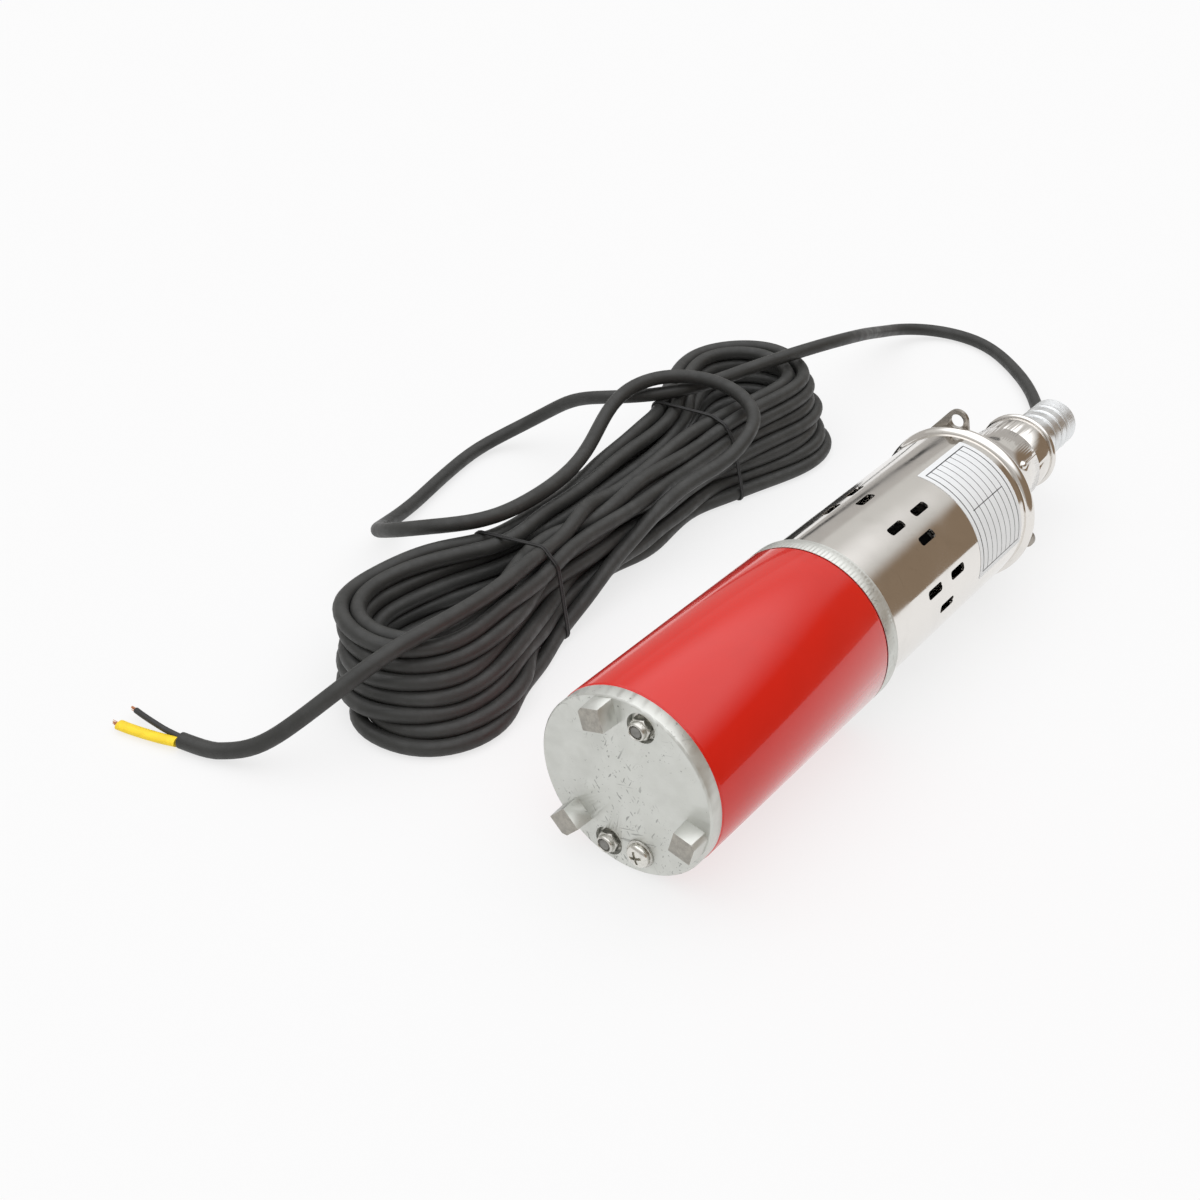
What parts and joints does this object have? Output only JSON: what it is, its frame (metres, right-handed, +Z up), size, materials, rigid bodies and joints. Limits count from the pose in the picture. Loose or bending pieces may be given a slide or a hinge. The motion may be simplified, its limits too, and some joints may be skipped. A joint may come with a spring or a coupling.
{
  "type": "borehole submersible pump",
  "caption": "Slim submersible screw pump with a painted motor barrel, slotted stainless intake sleeve, hose barb outlet, rope eye and a folded hank of cable.",
  "frame": {"origin": "on the floor under the middle of the pump's length, without its cable", "axes": "+Y along the pump's axis from the feet to the hose barb, +Z up, the pump lying on its side"},
  "size_m": [0.2972, 0.5679, 0.0821],
  "materials": {
    "cast_aluminium": "as cast with light machining marks",
    "red_paint": "gloss",
    "polished_stainless": "polished",
    "plated_barb": "bright plated",
    "zinc_plate": "zinc plated",
    "eye_steel": "satin",
    "black_rubber": "matte",
    "cable_jacket": "matte",
    "tie_wire": "satin",
    "core_insulation": "satin",
    "ferrite": "matte",
    "steel_lamination": "satin",
    "copper": "satin",
    "bright_steel": "ground",
    "brush_carbon": "matte",
    "moulded_plastic": "moulded"
  },
  "bodies": {
    "pump": {"bottom_cap": "cast_aluminium", "top_flange": "cast_aluminium", "motor_barrel": "red_paint", "pump_sleeve": "polished_stainless", "pump_head": "polished_stainless", "outlet_neck": "polished_stainless", "gland_ferrule": "polished_stainless", "hose_barb": "plated_barb", "oil_filler_screw": "zinc_plate", "tie_rods": "zinc_plate", "tie_rod_nuts": "zinc_plate", "tie_rod_washers": "zinc_plate", "rope_eye_plate": "eye_steel", "oil_screw_washer": "black_rubber", "barrel_o_rings": "black_rubber", "outlet_o_ring": "black_rubber", "shaft_seal": "black_rubber", "stator_rubber": "black_rubber", "strain_relief": "black_rubber", "lead_grommet": "black_rubber", "inner_lead": "cable_jacket", "cable_lead": "cable_jacket", "cable_hank": "cable_jacket", "cable_tail": "cable_jacket", "hank_ties": "tie_wire", "core_wires": "core_insulation", "magnets": "ferrite", "lower_bearing": "bright_steel", "upper_bearing": "bright_steel", "stator_tube": "bright_steel", "brush_springs": "bright_steel", "carbon_brushes": "brush_carbon", "brush_holder": "moulded_plastic", "discharge_adaptor": "moulded_plastic"},
    "armature": {"motor_shaft": "bright_steel", "armature_core": "steel_lamination", "armature_winding": "copper", "commutator": "copper", "coupling_hub": "bright_steel"},
    "drive_rod": {"drive_rod": "bright_steel"},
    "screw": {"screw_rotor": "bright_steel"}
  },
  "joints": [
    {"name": "motor_spin", "type": "hinge", "parent": "pump", "child": "armature", "pos_m": [0, 0, 0.038], "axis": [0, 1, 0], "continuous": true},
    {"name": "rod_orbit", "type": "hinge", "parent": "pump", "child": "drive_rod", "pos_m": [0, 0, 0.038], "axis": [0, 1, 0], "continuous": true},
    {"name": "screw_spin", "type": "hinge", "parent": "drive_rod", "child": "screw", "pos_m": [0.0025, 0, 0.038], "axis": [0, 1, 0], "continuous": true}
  ],
  "couplings": [
    {"joint": "rod_orbit", "follows": "motor_spin", "ratio": -1},
    {"joint": "screw_spin", "follows": "motor_spin", "ratio": 2}
  ]
}
